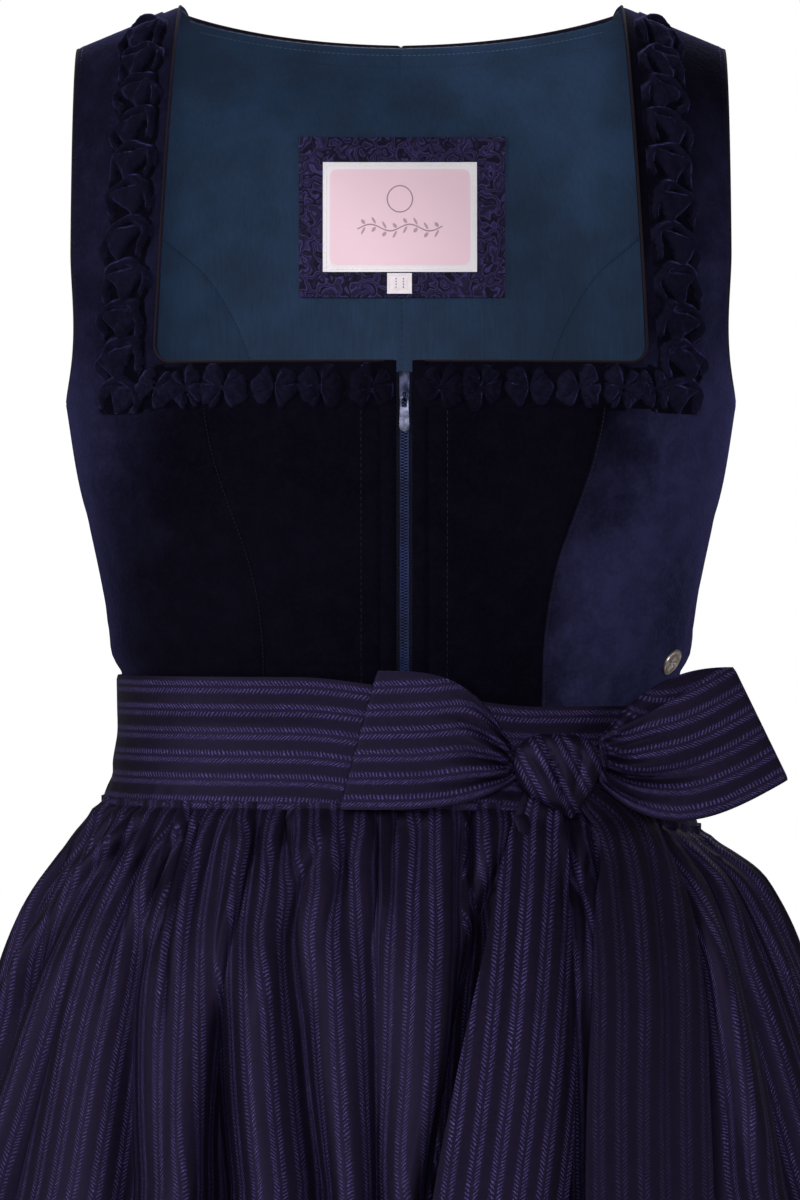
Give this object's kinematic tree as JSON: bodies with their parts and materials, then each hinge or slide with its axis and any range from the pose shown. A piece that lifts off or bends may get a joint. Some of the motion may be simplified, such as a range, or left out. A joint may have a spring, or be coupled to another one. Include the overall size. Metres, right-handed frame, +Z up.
{
  "type": "dirndl",
  "caption": "Sleeveless dirndl, worn shape: velvet bodice, square ruched neckline, front zip, gathered skirt, striped apron with a bow at the waist.",
  "frame": {"origin": "midway between the shoulder seams, level with the middle of each strap, where the wearer's shoulders hold the dress", "axes": "+Z up, the front faces -Y, +X to the right as seen from the front"},
  "size_m": [0.6264, 0.5219, 0.9951],
  "materials": {
    "velvet": "dark navy cotton velvet with a soft blue sheen at grazing angles",
    "lining": "smooth steel-blue lining cloth",
    "patch": "woven navy and violet scroll patch",
    "label": "woven pink label with a white edge",
    "tab": "white woven tab",
    "zip_tape": "navy woven zip tape",
    "zip_metal": "nickel-plated",
    "badge_metal": "aged silver colour",
    "apron_satin": "aubergine satin with violet feather stripes",
    "skirt_cloth": "plain dark navy skirt cloth"
  },
  "bodies": {
    "garment": {"front_centre_left": "velvet", "front_centre_right": "velvet", "front_side_left": "velvet", "front_side_right": "velvet", "placket_left": "velvet", "placket_right": "velvet", "back_centre_left": "velvet", "back_centre_right": "velvet", "back_side_left": "velvet", "back_side_right": "velvet", "ruche_front_left": "velvet", "ruche_front_right": "velvet", "ruche_strap_left": "velvet", "ruche_strap_right": "velvet", "lining_centre_left": "lining", "lining_centre_right": "lining", "lining_side_left": "lining", "lining_side_right": "lining", "label_patch": "patch", "label": "label", "size_tab": "tab", "zip_tape": "zip_tape", "zip_slider": "zip_metal", "badge": "badge_metal", "apron_band": "apron_satin", "apron": "apron_satin", "bow_loop_left": "apron_satin", "bow_loop_right": "apron_satin", "bow_knot": "apron_satin", "tail_left": "apron_satin", "tail_right": "apron_satin", "skirt_front_left": "skirt_cloth", "skirt_front_right": "skirt_cloth", "skirt_back_left": "skirt_cloth", "skirt_back_right": "skirt_cloth"},
    "pull_tab": {"zip_pull": "zip_metal"}
  },
  "joints": [
    {"name": "pull_hinge", "type": "hinge", "parent": "garment", "child": "pull_tab", "pos_m": [0.0015, -0.09795, -0.1778], "axis": [-1, 0, 0], "range_deg": [0, 150]}
  ]
}
